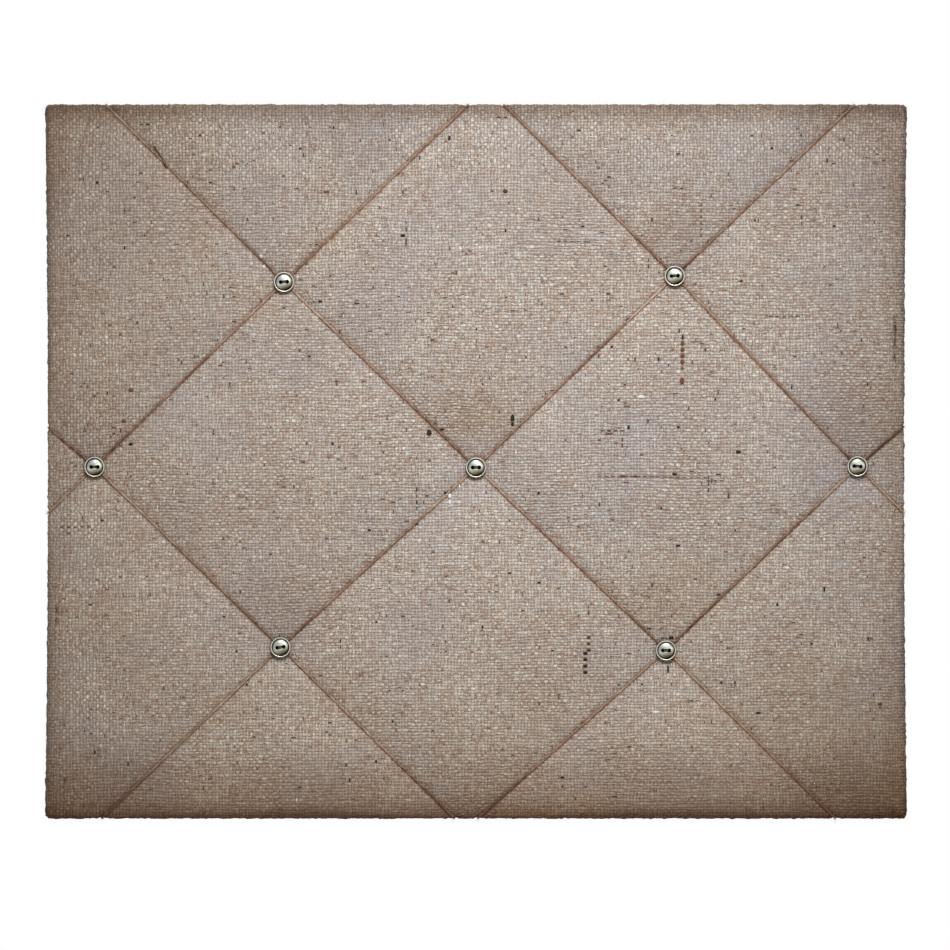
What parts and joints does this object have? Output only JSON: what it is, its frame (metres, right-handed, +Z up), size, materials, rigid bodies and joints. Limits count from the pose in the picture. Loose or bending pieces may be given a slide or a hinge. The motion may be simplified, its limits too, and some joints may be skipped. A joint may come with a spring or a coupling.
{
  "type": "memo board",
  "caption": "Padded hessian memo board with a diagonal lattice of string under metal buttons, to hold notes, hung on the wall by two swinging D-rings.",
  "frame": {"origin": "middle of the backing card's rear face, where the board lies against the wall", "axes": "+X to the right seen from the front, +Y towards the wall, +Z up"},
  "size_m": [0.6002, 0.0294, 0.501],
  "materials": {
    "hessian": "coarse plain weave",
    "wadding": "soft",
    "fibreboard": "raw",
    "card": "matt",
    "string": "twisted jute",
    "button_metal": "aged plating",
    "thread": "matt",
    "hanger_plating": "plated",
    "steel": "bright"
  },
  "bodies": {
    "board": {"core_board": "fibreboard", "wadding_pad": "wadding", "hessian_cover": "hessian", "backing_card": "card", "falling_cord_upper": "string", "falling_cord_middle": "string", "falling_cord_lower": "string", "rising_cord_upper": "string", "rising_cord_middle": "string", "rising_cord_lower": "string", "staple_falling_upper_start": "steel", "staple_falling_upper_end": "steel", "staple_falling_middle_start": "steel", "staple_falling_middle_end": "steel", "staple_falling_lower_start": "steel", "staple_falling_lower_end": "steel", "staple_rising_upper_start": "steel", "staple_rising_upper_end": "steel", "staple_rising_middle_start": "steel", "staple_rising_middle_end": "steel", "staple_rising_lower_start": "steel", "staple_rising_lower_end": "steel", "button_upper_left": "button_metal", "button_upper_right": "button_metal", "button_middle_left": "button_metal", "button_centre": "button_metal", "button_middle_right": "button_metal", "button_lower_left": "button_metal", "button_lower_right": "button_metal", "thread_upper_left": "thread", "thread_upper_right": "thread", "thread_middle_left": "thread", "thread_centre": "thread", "thread_middle_right": "thread", "thread_lower_left": "thread", "thread_lower_right": "thread", "hanger_strap_left": "hanger_plating", "hanger_strap_right": "hanger_plating", "hanger_screw_left": "steel", "hanger_screw_right": "steel"},
    "ring_left": {"hanger_ring_left": "hanger_plating"},
    "ring_right": {"hanger_ring_right": "hanger_plating"}
  },
  "joints": [
    {"name": "ring_left_swing", "type": "hinge", "parent": "board", "child": "ring_left", "pos_m": [-0.272, 0.0003, 0.1585], "axis": [0, 0, 1], "range_deg": [0, 165]},
    {"name": "ring_right_swing", "type": "hinge", "parent": "board", "child": "ring_right", "pos_m": [0.272, 0.0003, 0.1585], "axis": [0, 0, -1], "range_deg": [0, 165]}
  ]
}
